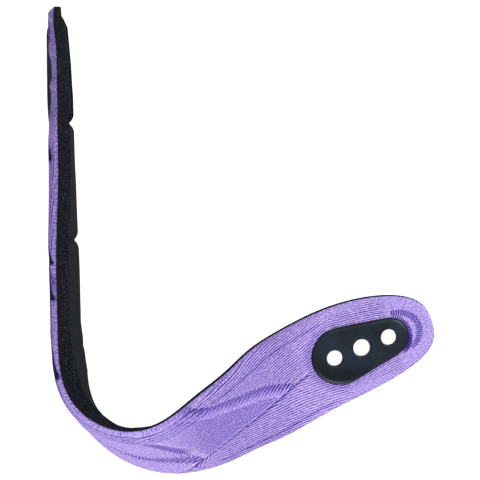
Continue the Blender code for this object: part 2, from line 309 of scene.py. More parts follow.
def side(x, y, line):
    """Signed distance to an open line: positive on the left of its direction."""
    a, b = line[:-1], line[1:]
    best = np.full(x.shape, 1e9)
    sign = np.ones(x.shape)
    for k in range(len(a)):
        dx, dy = b[k] - a[k]
        ex, ey = x - a[k, 0], y - a[k, 1]
        t = (ex * dx + ey * dy) / (dx * dx + dy * dy)
        lo = -1e9 if k == 0 else 0.0
        hi = 1e9 if k == len(a) - 1 else 1.0
        t = np.clip(t, lo, hi)
        qx, qy = ex - t * dx, ey - t * dy
        m = qx * qx + qy * qy
        u = m < best
        best = np.where(u, m, best)
        sign = np.where(u, np.where(dx * ey - dy * ex >= 0, 1.0, -1.0), sign)
    return sign * np.sqrt(best)


def bump(d, centre, width):
    return np.exp(-((d - centre) / width) ** 2)


def band(x, lo, hi, soft):
    return smooth((x - lo) / soft + 0.5) * smooth((hi - x) / soft + 0.5)


F1, F2, F3, F4, F5 = -0.20, 0.40, 1.05, -0.50, -0.85     # heights of the quilted panels
WALL_P, WALL_R, WALL_D, WALL_Q = 3.0, 2.6, 3.4, 1.1      # widths of the sloping walls between them


def slanted(x, y, x0, angle, pitch):
    """Rib phase of straight ribs at an angle (degrees) to the strap's length, `pitch` mm apart."""
    a = np.radians(angle)
    return (np.cos(a) * y - np.sin(a) * (x - x0)) * RIB / pitch


def quilt(s, y):
    """Height (mm) of the relief, and the rib pattern's phase (mm), strength and painted shade."""
    x = 209.5 + np.abs(s - 209.5)
    f = y / 25.1
    dp, dr, dq, dd = side(x, y, LINE_P), side(x, y, LINE_R), side(x, y, LINE_Q), side(x, y, LINE_D)
    on_q = smooth(dq / WALL_Q + 0.5)
    on_p = smooth(dp / WALL_P + 0.5)
    on_r = smooth(dr / WALL_R + 0.5)
    on_d = smooth(dd / WALL_D + 0.5)
    ends_r = smooth((336.0 - x) / 8.0)
    right = F2 + (F3 - F2) * (on_r * ends_r + (1 - ends_r) * smooth((x + 0.6 * y - 326.0) / 10.0))
    left = F5 + (F1 - F5) * on_d
    h = on_q * (left + (right - left) * on_p) + (1 - on_q) * F4

    above_q = smooth((dq - 0.2) / 1.2)
    left_of_p = smooth(-dp / 2.0 + 0.3)
    # a bright rolled edge above each wall, a crease at its foot
    h += above_q * (0.30 * bump(dp, 2.1, 0.9) - 0.34 * bump(dp, -1.8, 0.9))
    h += above_q * smooth(dp / 2.0) * ends_r * (0.20 * bump(dr, 2.0, 0.9) - 0.30 * bump(dr, -1.7, 0.9))
    h += left_of_p * (0.24 * bump(dd, 2.4, 0.9) - 0.28 * bump(dd, -2.1, 0.9))
    near_q = band(x, 270, 352, 6.0)
    h += near_q * (0.34 * bump(dq, 1.2, 0.7) - 0.55 * bump(dq, -0.55, 0.5))
    # creases along the lower and upper borders
    low_line = np.interp(x, (284, 300, 320, 352), (-19.0, -19.8, -20.9, -21.6))
    h -= 0.50 * band(x, 284, 353, 8.0) * bump(y - low_line, 0.0, 0.50)
    top_line = np.interp(x, (280, 300, 318, 334, 350, 366), (20.6, 19.3, 18.4, 17.8, 18.2, 19.0))
    h -= 0.32 * band(x, 292, 366, 10.0) * bump(y - top_line, 0.0, 0.55)

    # ribs: which way they run, how strong they are, and how much painted shade darkens them and their valleys
    bend = 0.20 * np.log1p(np.exp((x - 346.0) / 4.0)) * 4.0
    phase = slanted(x, y, 330.0, 3.0, 1.13) - bend * np.clip(f / 0.7, 0.0, 1.2)
    power = 0.85 + 0.0 * x
    dark = 0.06 + 0.0 * x

    def lay(mask, ph, pw, dk):
        nonlocal phase, power, dark
        phase = np.where(mask, ph, phase)
        power = np.where(mask, pw, power)
        dark = np.where(mask, dk, dark)

    in_q = dq > 0
    lay(in_q & (x > 330.0) & (np.abs(y) < 6.5) & (dr < 3.0), slanted(x, y, 330.0, -6.0, 1.38), 0.80, 0.06)
    # the centre panel gets painted shade, growing stronger from x 258 mm towards the plate
    lay(in_q & (dp > 0) & (dr < 0) & (x < 334), slanted(x, y, 300.0, -4.5, 1.28), 0.42, 0.12 + 0.86 * smooth((x - 258.0) / 30.0))          # centre panel
    lay(in_q & (dp < 0) & (dd > 0), slanted(x, y, 240.0, 2.3, 1.30), 0.30, 0.03)                       # middle
    lay(in_q & (dp < 0) & (dd < 0), slanted(x, y, 240.0, -1.0, 1.35), 0.36, 0.08)                      # lower middle
    pitch4 = np.interp(f, (-0.75, -0.5, -0.25), (1.38, 1.27, 1.25))
    # the lower right panel gets a band of painted shade between x 292 and 332 mm
    lay(~in_q, slanted(x, y, 310.0, -10.0, 1.28) + 0.0 * pitch4, 0.92, 0.08 + 0.36 * band(x, 285.0, 332.0, 14.0))                            # lower right
    # the top panel's ribs stand further apart in tone, with a band of painted shade over its middle
    top_panel = in_q & (dp > 0) & (dr >= 0) & (x < 352)
    lay(top_panel, phase, 1.0, 0.06 + 0.34 * band(x, 292.0, 344.0, 10.0))
    # wall R: short slanting dashes and painted shade, both strongest on the wall and fading out below it
    dash = np.interp(dr, (-5.5, -3.6, -1.0, 0.9, 1.6), (0.0, 0.55, 1.0, 1.0, 0.2))
    tone = np.interp(dr, (-6.2, -4.4, -1.8, -0.6, 0.7, 1.5), (0.0, 0.45, 0.95, 1.25, 1.25, 0.0))
    lay(in_q & (dr > -6.0) & (dr < 1.5) & (dp > 1.0) & (x < 336), slanted(x, y, 300.0, 21.0, 1.65), dash, tone)
    # wall P: a slope painted dark as shade, with faint steep dashes
    tone = np.interp(dp, (-3.3, -2.1, 0.9, 1.9), (0.0, 1.20, 1.20, 0.0)) * smooth((23.8 - y) / 4.0) * smooth((275.0 - x) / 7.0) * smooth((17.0 - y) / 4.0)
    lay(in_q & (dp > -4.2) & (dp < 2.1), slanted(x, y, 260.0, 62.0, 1.5), 0.75, tone)
    # wall D: slanting dashes and painted shade on its slope, both fading towards the strap's middle
    th = np.interp(x, (209.5, 250.0, 262.0, 276.0), (80.0, 74.0, 38.0, 28.0))
    gap = np.interp(x, (209.5, 250.0, 270.0), (1.7, 1.8, 2.1))
    fade_d = np.interp(x, (214.0, 246.0), (0.15, 1.0))
    dash = np.interp(dd, (-4.0, -2.4, 1.8, 3.2), (0.3, 1.0, 1.0, 0.3)) * fade_d
    tone = np.interp(dd, (-4.0, -2.2, 1.8, 3.2), (0.0, 1.05, 1.05, 0.0)) * fade_d
    lay((dp < -1.0) & (dd > -4.0) & (dd < 3.2) & in_q, slanted(x, y + 5.0, 262.0, th, gap), dash, tone)            # wall D
    # painted shade on the slope under the start of line Q
    lay((dq < -0.4) & (dq > -3.4) & (x < 284) & (x > 269) & (y > -18.5), slanted(x, y, 280.0, 62.0, 1.35), 1.0, np.interp(dq, (-3.4, -2.2, -0.4), (0.0, 0.4, 0.6)))      # under Q's start
    # strong lengthwise ribs beside the upper edge: shallow grooves painted dark as shade, the ridges between them a
    # little lighter
    up = band(x, 200, 288, 12.0) * band(y, 15.6, 24.4, 1.2)
    line = (0.5 + 0.5 * np.cos(2 * np.pi * (y - 20.8) / 2.1)) ** 3
    h -= 0.30 * up * line
    power = power * (1 - 0.6 * up)
    dark = dark + (1.35 + 1.05 * smooth((262.0 - x) / 20.0)) * up * line - 0.08 * up * (1 - line)
    # the foot creases and the creases along both borders are painted dark as shade
    dark = dark + 1.20 * near_q * bump(dq, -0.55, 0.55)
    dark = dark + 0.95 * band(x, 284, 353, 8.0) * bump(y - low_line, 0.0, 0.5)
    dark = dark + 0.75 * band(x, 292, 366, 10.0) * bump(y - top_line, 0.0, 0.55)
    # painted highlights along the rolled edges above lines Q, R and P
    dark = dark - 0.55 * near_q * bump(dq, 1.1, 0.6) - 0.20 * above_q * smooth((x - 288.0) / 12.0) * ends_r * bump(dr, 2.3, 0.7)
    dark = dark - 0.40 * above_q * bump(dp, 2.6, 0.8)
    # pits where the quilting lines run out at the upper border: recessed wedges in the half that stands on edge,
    # painted near black as shadow over a wider band than the recess; in the other half shallow recesses with light
    # painted shade
    for x0, x1, far, edge in ((229.0, 250.0, 0.0, 21.6), (268.0, 279.0, 0.3, 21.6), (286.0, 296.0, 0.3, 21.4), (339.0, 351.0, 0.0, 19.2)):
        u = (x1 - x) / (x1 - x0)
        taper = 0.45 * np.clip((20.0 - y) / 6.0, 0.0, 1.0)
        wedge = np.clip((u - taper) / (1.0 - taper), 0.0, 1.0) ** 1.2 * smooth((1.16 - u) / 0.16)
        first = smooth((214.0 - s) / 6.0)
        h = h - 1.2 * (first + far * (1 - first)) * wedge * band(y, 17.4, 24.0, 2.0)
        dark = dark + first * wedge * (3.1 * band(y, 14.6, edge + 3.4 * np.clip(u, 0.0, 1.0), 1.4) + 0.5 * band(y, 21.0, 24.6, 1.5))
        dark = dark + 0.8 * far * (1 - first) * wedge * band(y, 18.5, 23.8, 2.0)
    # painted shade darkens the half that stands on edge along its upper border
    dark = dark + 0.26 * smooth((204.0 - s) / 10.0) * smooth((y - 7.0) / 7.0)
    # the ribs wander a little
    phase = phase + 0.10 * np.sin(x / 2.7 + 1.9 * np.sin(y / 1.9)) + 0.16 * np.sin(x / 9.0 + y / 4.0)
    # flatter towards the upper border of the half that stands on edge
    h = h * (1.0 - 0.65 * smooth((214.0 - s) / 10.0) * smooth((y - 2.0) / 10.0))
    return h, phase, power, dark


def collar(s, y, xl, yl, d):
    """The knit round an end plate: relief (mm), rib phase, strength and painted shade, and how far it takes over."""
    x = 209.5 + np.abs(s - 209.5)
    h = np.zeros_like(x)
    take = smooth((x - 363.5) / 3.0)                 # beyond the plate's shoulders
    # strips beside the plate, with rows that follow its sides
    tilt = np.where(yl > 0, -0.16, 0.16)
    phase = y - tilt * (x - 366.0)
    power = 0.35 + 0.60 * band(np.abs(y), 8.0, 20.0, 3.0)
    dark = 0.04 + 0.12 * band(np.abs(y), 10.5, 17.5, 2.5)
    # broken rows of longer stitches beside the plate
    rows = band(np.abs(y), 11.5, 20.5, 1.5) * band(x, 366.0, 397.0, 3.0)
    broken = smooth(0.55 + 0.75 * np.sin(x * 1.55 + 1.4 * np.sin(y * 1.3)) + 0.35 * np.sin(x * 0.61 + y))
    row = (0.5 + 0.5 * np.cos(2 * np.pi * (np.abs(y) - 14.6 + 0.10 * (x - 380.0)) / 2.3)) ** 2
    dark = dark + 0.45 * rows * broken * row
    h += -0.10 * rows * broken * row
    # a step at each shoulder
    h += -0.35 * smooth((x - 366.3) / 1.4) * smooth((d - 1.0) / 3.0)
    # outer ring of short radial ribs, centred on the strap's own axis
    ex, ey = (x - 399.4) / 12.0, y / 10.5
    rho = np.hypot(ex, ey)
    ang = np.arctan2(ey, ex)
    dr = (rho - 1.0) * 11.2
    lower = smooth((ang + 1.45) / 0.7)
    ring = band(dr, -1.5, 1.4, 0.8) * smooth((1.62 - ang) / 0.12) * lower
    tail = smooth((x - 395.0) / 5.0)
    h += tail * (0.30 * bump(dr, -2.8, 1.3) - 0.75 * smooth((dr + 1.6) / 3.2) * smooth(1.0 - np.abs(ang) / 2.2))
    on = ring > 0.35
    phase = np.where(on, ang * 11.2, phase)
    power = np.where(on, 1.0, power)
    dark = np.where(on, 1.10, dark)
    # inner ring, hugging the plate's tail, painted dark as shade beside the plate and near black where strongest
    a2 = np.arctan2(yl, xl - 16.1)
    inner = (d < 2.0) & (x > 397.0) & (a2 < 1.1) & (a2 > -1.25)
    tail_shade = np.interp(a2, (-1.25, -0.9, -0.3, 0.4, 1.1), (0.9, 2.0, 1.7, 1.3, 0.6))
    phase = np.where(inner, a2 * 11.0, phase)
    power = np.where(inner, 1.0, power)
    dark = np.where(inner, tail_shade, dark)
    rest = tail * (~on) * (~inner)
    power = power * (1 - rest) + 0.34 * rest
    dark = dark * (1 - rest) + 0.06 * rest
    return h, phase, power, dark, take


def rib_shape(phase):
    """Rounded ribs with narrow valleys, 0 in a valley and 1 on a rib."""
    return np.sqrt(np.sin(np.pi * phase / RIB) ** 2 + 0.015) / math.sqrt(1.015)


# ---------------------------------------------------------------- layers: height (m) at (s, y)
def squeezed(s, y):
    """Depth of the padding: thinner along the upper border from the bend on."""
    d = pad_depth(s)
    k = 0.76 * band(np.asarray(s) / MM, 228.0, 300.0, 24.0) * smooth((np.asarray(y) / MM + 8.0) / 12.0)
    # the half that stands on edge is packed flatter, most of all near the bend and right at its tip
    flat = np.interp(np.asarray(s) / MM, (5.0, 10.0, 28.0, 40.0, 62.0, 92.0, 118.0, 165.0, 179.0, 192.0, 206.0, 221.0, 231.0, 240.0, 248.0, 260.0), (1.9, 0.65, 0.6, 0.95, 0.95, 0.75, 1.45, 1.55, 0.0, -1.1, -0.2, 1.0, 0.3, -1.0, -0.8, 0.0))
    return FLANGE + 0.0004 + np.maximum((d - FLANGE - 0.0004) * (1.0 - k) - MM * flat, 0.0)


def plate_distance(end, s, y):
    if end is None:
        return np.full(s.shape, 1.0), np.zeros(s.shape), np.zeros(s.shape)
    xl, yl = to_plate(end, s, y)
    d, _, _ = nearest(xl, yl, OUTLINE)
    return d, xl, yl


def cover_top(s, y, end):
    h = half_width(s)
    f = np.clip(np.abs(y) / h, 0.0, 1.0)
    base = 0.00042
    w = base + (crown(s) - base) * np.sqrt(1.0 - f ** fullness(s))
    inset = (h - np.abs(y)) / MM
    # the cover swells a little on the outside of the bend
    w = w + 0.0007 * band(s / MM, 198.0, 266.0, 20.0) * smooth((6.0 - y / MM) / 10.0) * np.sqrt(np.clip(1.0 - f ** 6, 0.0, 1.0))
    rel, phase, power, dark = quilt(s / MM, y / MM)
    if end == "a":
        # the cover is drawn in beside this plate's waist
        w = w - 0.0012 * band(s / MM, 27.0, 40.0, 5.0) * smooth((y / MM - 8.0) / 5.0)
        w = w - 0.0009 * band(s / MM, 44.0, 58.0, 4.0) * smooth((y / MM - 12.0) / 5.0)
        w = w - 0.0004 * band(s / MM, 8.0, 60.0, 8.0) * smooth((y / MM - 8.0) / 6.0)
        # and stands a little fuller at the very tip
        w = w + 0.0010 * band(s / MM, 2.4, 8.0, 2.4) * np.sqrt(np.clip(1.0 - f ** 4, 0.0, 1.0))
    d, xl, yl = plate_distance(end, s, y)
    dm = d / MM
    if end is not None:
        ch, cp, cw, cd, take = collar(s / MM, y / MM, xl / MM, yl / MM, dm)
        near = smooth((dm - 0.5) / 7.0)
        rel = rel * near * (1 - take) + ch * take
        # close to the nose the ribs are strong, run straight into the plate and are painted darker as shade beside it
        nose = (1 - smooth((dm - 1.5) / 4.0)) * (1 - take)
        power = power * (1 - nose) + 1.0 * nose
        dark = dark * (1 - nose) + 0.62 * nose
        use = take > 0.5
        phase, power, dark = np.where(use, cp, phase), np.where(use, cw, power), np.where(use, cd, dark)
        rel = rel - 0.55 * (1 - smooth(dm / 1.6))
    if end == "a":
        # painted shade along the upper border near the plate of end a
        dark = dark + 0.42 * smooth((y / MM - 8.0) / 6.0) * smooth((68.0 - s / MM) / 8.0)
    rim = smooth(inset / 2.6)
    tip = smooth(from_tip(s) / MM / 7.0)
    rib = rib_shape(phase)
    w = w + MM * rel * rim * tip
    w = w + MM * 0.34 * power * (rib - 0.6) * smooth(inset / 2.0) * tip
    if end is not None:
        under = smooth((0.25 - dm) / 0.7)
        w = w * (1 - under) + (PLATE_BOTTOM - 0.0002) * under
    # the knit attribute holds the rib phase, the rib strength and the painted shade
    knit = np.stack([phase, power * smooth(inset / 1.2), dark], -1)
    return w, knit


def cover_low(s, y, end):
    h = half_width(s)
    f = np.abs(y) / h
    roof = np.where(from_tip(s) > 0.0085, 0.0015, 0.00015)
    w = 0.00015 + (roof - 0.00015) * smooth((0.81 - f) / 0.03)
    return w, None


def web_top(s, y, end):
    return np.full(s.shape, 0.00115), None


def web_low(s, y, end):
    return np.full(s.shape, -0.0001), None


def pad_mask(f):
    """0 on the flat margin, 1 on the padded area, with the moulded shoulder between."""
    return smooth((0.905 - f) / 0.115)


def grooves(s, y):
    """Depth (mm) of the creases pressed across the padding, between rounded pads."""
    total = np.zeros(np.broadcast(s, y).shape)
    for i, g in enumerate(CREASES):
        inward = 1.0 if g < 0.5 * LENGTH else -1.0
        slant = (0.0085 if 0 < i < 5 else 0.0045) * smooth((np.asarray(y) / HALF_W - 0.74) / 0.16)
        u = (s - g) * inward - slant
        t = np.abs(u) / 0.0052
        total = np.maximum(total, CREASE_DEPTH[i] * (1.0 - np.minimum(t, 1.0)) ** 2.3)
    return total


def lining_low(s, y, end):
    h = half_width(s)
    f = np.clip(np.abs(y) / h, 0.0, 1.1)
    d = squeezed(s, y)
    m = pad_mask(f)
    belly = 0.00045 * np.clip(f / 0.8, 0.0, 1.0) ** 4
    w = -FLANGE - (d - FLANGE - belly) * m + MM * grooves(s, y) * smooth((m - 0.2) / 0.5)
    over = np.clip((np.abs(y) - h - RIM + 0.0007) / 0.0007, 0.0, 1.0)
    w = w + 0.00055 * (1 - np.sqrt(1 - 0.98 * over ** 2))
    if end is not None:
        dm, _, _ = plate_distance(end, s, y)
        lip = np.clip((dm - 0.0008) / 0.0018, 0.0, 1.0)
        w = w + 0.0009 * (1 - np.sqrt(1 - (1 - lip) ** 2))
    knit = np.stack([np.asarray(y) / MM + 0.0 * np.asarray(s), np.full(w.shape, 1.0), smooth((f - 0.86) / 0.05)], -1)
    return w, knit


def lining_top(s, y, end):
    h = half_width(s)
    f = np.abs(y) / h
    d = squeezed(s, y)
    top = -0.5 * CLEAR
    floor = np.where(from_tip(s) > 0.0085, -(d - SKIN) + MM * grooves(s, y), top)
    w = top + (floor - top) * smooth((0.835 - f) / 0.09)
    w = np.minimum(w, top)
    if end is not None:
        dm, _, _ = plate_distance(end, s, y)
        close = smooth((0.0016 - dm) / 0.0006)
        w = w * (1 - close) + top * close
    if end == "a":
        w = w + 0.0017 * smooth((0.028 - s) / 0.022) * smooth((y - h + 0.0001) / 0.0003)
    return w, None


def pad_top(s, y, end):
    return np.full(s.shape, -0.00045), None


def pad_low(s, y, end):
    h = half_width(s)
    f = np.abs(y) / h
    low = -(squeezed(s, y) - SKIN - CLEAR - 0.0001)
    w = -0.0006 + (low + MM * grooves(s, y) + 0.0006) * smooth((0.79 - f) / 0.10)
    return np.minimum(w, -0.0006), None


# ---------------------------------------------------------------- meshes
def rows_for(n, power=1.22):
    u = np.linspace(0.0, 1.0, n)
    half = 1.0 - (1.0 - u) ** power
    return np.concatenate([-half[:0:-1], half])


def stations(a, b, step, tip=None, first=2e-6):
    """Stations from a to b: even along the strap, closer together round a tip."""
    if tip is None:
        n = max(2, int(round((b - a) / step)))
        return np.linspace(a, b, n + 1)
    length = b - a
    q = np.concatenate([first + (np.linspace(0, 1, 3000) ** 3) * (length - first)])
    y = half_width(q)
    arc = np.concatenate([[0.0], np.cumsum(np.hypot(np.diff(q), np.diff(y)))])
    n = int(round(arc[-1] / step))
    d = np.interp(np.linspace(0, arc[-1], n + 1), arc, q)
    d[-1] = length
    return d if tip == "a" else (LENGTH - d)[::-1]


def sheet_mesh(name, st, rows, inner_rows, top, low, end, scale=1.0, edge=0.0, shift=0.0, opening=None, knit_on="top"):
    """A closed layer between two surfaces over the strap's (s, y) plan."""
    n, m = len(st), len(rows)
    S = np.repeat(st[:, None], m, 1)
    reach = half_width(st)[:, None] * scale + edge
    lean_over = shift * (half_width(st)[:, None] / HALF_W) ** 2
    Y = rows[None, :] * reach + lean_over
    gone = None
    if opening is not None:
        xl, yl = to_plate(end, S, Y)
        xc = 0.25 * (xl[:-1, :-1] + xl[1:, :-1] + xl[1:, 1:] + xl[:-1, 1:])
        yc = 0.25 * (yl[:-1, :-1] + yl[1:, :-1] + yl[1:, 1:] + yl[:-1, 1:])
        dc, _, _ = nearest(xc, yc, opening)
        gone = dc < 0
        touch = np.zeros((n, m), bool)
        kept = np.zeros((n, m), bool)
        for di in (0, 1):
            for dj in (0, 1):
                touch[di:n - 1 + di, dj:m - 1 + dj] |= gone
                kept[di:n - 1 + di, dj:m - 1 + dj] |= ~gone
        edge_v = touch & kept
        sign = -1.0 if end == "a" else 1.0
        for _ in range(3):
            xl, yl = to_plate(end, S[edge_v], Y[edge_v])
            _, nx, ny = nearest(xl, yl, opening)
            S[edge_v] += sign * (nx - xl)
            Y[edge_v] += sign * (ny - yl)
    WT, kt = top(S, Y, end)
    if gone is None and inner_rows is not None:
        mi = len(inner_rows)
        SI = np.repeat(st[:, None], mi, 1)
        YI = inner_rows[None, :] * reach + lean_over
    else:
        mi, SI, YI = m, S, Y
    # "top" carries the fine rows for the cover; for the lining the fine side is the low one
    if knit_on == "top":
        WL, _ = low(SI, YI, end)
        PT, PL = place(S, Y, WT), place(SI, YI, WL)
        K, flatT, flatL = kt, (S, Y, WT), (SI, YI, WL)
        ntop, nlow = m, mi
    else:
        WL, kl = low(S, Y, end)
        if mi != m:
            WT, _ = top(SI, YI, end)
        PT, PL = place(SI, YI, WT), place(S, Y, WL)
        K, flatT, flatL = kl, (SI, YI, WT), (S, Y, WL)
        ntop, nlow = mi, m
    verts = np.vstack([PT.reshape(-1, 3), PL.reshape(-1, 3)])
    base = n * ntop
    faces = []

    def grid(count, start, flip, holes):
        i, j = np.meshgrid(np.arange(n - 1), np.arange(count - 1), indexing="ij")
        a = start + i * count + j
        b, c, d = a + count, a + count + 1, a + 1
        q = np.stack([a, b, c, d], -1)
        if flip:
            q = q[..., ::-1]
        if holes is not None:
            q = q[~holes]
        return q.reshape(-1, 4)

    faces.append(grid(ntop, 0, False, gone))
    faces.append(grid(nlow, base, True, gone))
    i = np.arange(n - 1)
    a, b = i * ntop, (i + 1) * ntop
    faces.append(np.stack([a, base + i * nlow, base + (i + 1) * nlow, b], 1))
    a, b = i * ntop + ntop - 1, (i + 1) * ntop + ntop - 1
    faces.append(np.stack([a, b, base + (i + 1) * nlow + nlow - 1, base + i * nlow + nlow - 1], 1))
    faces = [list(map(int, q)) for part in faces for q in part]
    lo_cap = list(range(ntop)) + [base + j for j in range(nlow - 1, -1, -1)]
    hi = n - 1
    hi_cap = [hi * ntop + j for j in range(ntop - 1, -1, -1)] + [base + hi * nlow + j for j in range(nlow)]
    faces += [lo_cap, hi_cap]
    if gone is not None:
        g = np.pad(gone, 1, constant_values=False)
        for ci, cj in zip(*np.nonzero(~gone)):
            corner = [ci * m + cj, (ci + 1) * m + cj, (ci + 1) * m + cj + 1, ci * m + cj + 1]
            # neighbours across the edges a-b (cj-1), b-c (ci+1), c-d (cj+1), d-a (ci-1)
            for k, (oi, oj) in enumerate(((0, -1), (1, 0), (0, 1), (-1, 0))):
                if g[ci + 1 + oi, cj + 1 + oj]:
                    p, q = corner[k], corner[(k + 1) % 4]
                    faces.append([q, p, base + p, base + q])
    used = np.zeros(len(verts), bool)
    for q in faces:
        used[q] = True
    remap = np.cumsum(used) - 1
    faces = [[int(remap[v]) for v in q] for q in faces]
    flat = np.vstack([np.stack([v / MM for v in flatT], -1).reshape(-1, 3),
                      np.stack([v / MM for v in flatL], -1).reshape(-1, 3)])
    fine = K if K is not None else np.zeros((n, m, 3))
    rough_n = nlow if knit_on == "top" else ntop
    fill = np.zeros((n, rough_n, 3))
    if rough_n == m:
        fill[:] = fine
    else:
        fill[..., 1] = 0.5
    pair = (fine, fill) if knit_on == "top" else (fill, fine)
    knit = np.vstack([v.reshape(-1, 3) for v in pair])
    me = bpy.data.meshes.new(name)
    me.from_pydata(verts[used].tolist(), [], faces)
    me.validate()
    for key, data in (("flat", flat[used]), ("knit", knit[used])):
        at_ = me.attributes.new(key, "FLOAT_VECTOR", "POINT")
        at_.data.foreach_set("vector", data.astype(np.float32).ravel())
    bm = bmesh.new()
    bm.from_mesh(me)
    bm.normal_update()
    bmesh.ops.triangulate(bm, faces=[q for q in bm.faces if len(q.verts) > 4])
    bm.to_mesh(me)
    bm.free()
    me.shade_smooth()
    me.set_sharp_from_angle(angle=math.radians(62.0))
    ob = bpy.data.objects.new(name, me)
    bpy.context.scene.collection.objects.link(ob)
    return ob


def fill_plan(loops, extra, outer, holes):
    """Triangles over a plan: inside the loop `outer`, outside the loops `holes`."""
    pts, spans, edges = [], [], []
    for lp in loops:
        k = len(pts)
        pts += [Vector((float(x), float(y))) for x, y in lp]
        spans.append(range(k, k + len(lp)))
        edges += [(k + i, k + (i + 1) % len(lp)) for i in range(len(lp))]
    pts += [Vector((float(x), float(y))) for x, y in extra]
    v, _, f, ov, _, _ = delaunay_2d_cdt(pts, edges, [], 0, 1e-8)
    co = np.array([(q.x, q.y) for q in v])
    tri = np.array([list(q) for q in f])
    mid = co[tri].mean(1)
    keep = nearest(mid[:, 0], mid[:, 1], loops[outer])[0] < 0
    for h in holes:
        keep &= nearest(mid[:, 0], mid[:, 1], loops[h])[0] > 0
    where = {}
    for k, olds in enumerate(ov):
        for o in olds:
            where[o] = k
    return co, tri[keep], [[where[i] for i in sp] for sp in spans]


def hex_points(step, inside):
    xs = np.arange(-0.032, 0.032, step)
    ys = np.arange(-0.018, 0.018, step * 0.866)
    x = xs[None, :] + 0.5 * step * (np.arange(len(ys)) % 2)[:, None]
    y = ys[:, None] + 0.0 * x
    keep = inside(x, y)
    return list(zip(x[keep], y[keep]))


def circle(x, r, n=56):
    a = np.linspace(0, 2 * math.pi, n, endpoint=False)
    return np.stack([x + r * np.cos(a), r * np.sin(a)], 1)


def moulded(name, end, outline, face_z, rings, floor_z, neck=None, neck_z=0.0, taper=0.0, flip=False):
    """A moulded plate: a shaped face, a side wall, a flat underside, three bores and, if asked, a neck."""
    holes = [circle((i - 1) * PITCH, r) for i, r in enumerate(HOLE_R)]
    extra = [p for g in rings for p in offset(outline, -g)]
    for i, r in enumerate(HOLE_R):
        for g in (0.00008, 0.0002, 0.00036, 0.0006, 0.0009, 0.0013):
            extra += list(map(tuple, circle((i - 1) * PITCH, r + g)))
    inset = rings[-1] + 0.0005

    def ok(x, y):
        keep = nearest(x, y, outline)[0] < -inset
        for i, r in enumerate(HOLE_R):
            keep &= np.hypot(x - (i - 1) * PITCH, y) > r + 0.0018
        return keep
    extra += hex_points(0.0011, ok)
    co, tri, loops = fill_plan([outline] + holes, extra, 0, (1, 2, 3))
    bm = bmesh.new()

    def solid(co, z):
        return [bm.verts.new((x, y, q)) for (x, y), q in zip(co, z)]
    z = face_z(co)
    face = solid(co, z)
    for t in tri:
        bm.faces.new([face[i] for i in t])
    used = set(int(i) for t in tri for i in t)
    rim_top = [face[i] for i in loops[0]]

    def wall(a, b):
        n = len(a)
        for i in range(n):
            j = (i + 1) % n
            bm.faces.new((a[i], a[j], b[j], b[i]))
    bores_low = [circle((i - 1) * PITCH, r + taper) for i, r in enumerate(HOLE_R)]
    if neck is None:
        co2, tri2, loops2 = fill_plan([outline] + bores_low, [], 0, (1, 2, 3))
        low = solid(co2, [floor_z] * len(co2))
        for t in tri2:
            bm.faces.new([low[i] for i in t])
        wall(rim_top, [low[i] for i in loops2[0]])
        bores = [[low[i] for i in loops2[k + 1]] for k in range(3)]
    else:
        co2, tri2, loops2 = fill_plan([outline, neck], [], 0, (1,))
        low = solid(co2, [floor_z] * len(co2))
        for t in tri2:
            bm.faces.new([low[i] for i in t])
        wall(rim_top, [low[i] for i in loops2[0]])
        co3, tri3, loops3 = fill_plan([neck] + bores_low, [], 0, (1, 2, 3))
        foot = solid(co3, [neck_z] * len(co3))
        for t in tri3:
            bm.faces.new([foot[i] for i in t])
        wall([low[i] for i in loops2[1]], [foot[i] for i in loops3[0]])
        bores = [[foot[i] for i in loops3[k + 1]] for k in range(3)]
    for k in range(3):
        wall([face[i] for i in loops[k + 1]], bores[k])
    bmesh.ops.delete(bm, geom=[v for v in bm.verts if not v.link_faces], context="VERTS")
    bmesh.ops.recalc_face_normals(bm, faces=bm.faces)
    me = bpy.data.meshes.new(name)
    bm.to_mesh(me)
    bm.free()
    me.transform(Matrix(ENDS[end].tolist()))
    me.shade_smooth()
    me.set_sharp_from_angle(angle=math.radians(50.0))
    ob = bpy.data.objects.new(name, me)
    bpy.context.scene.collection.objects.link(ob)
    return ob


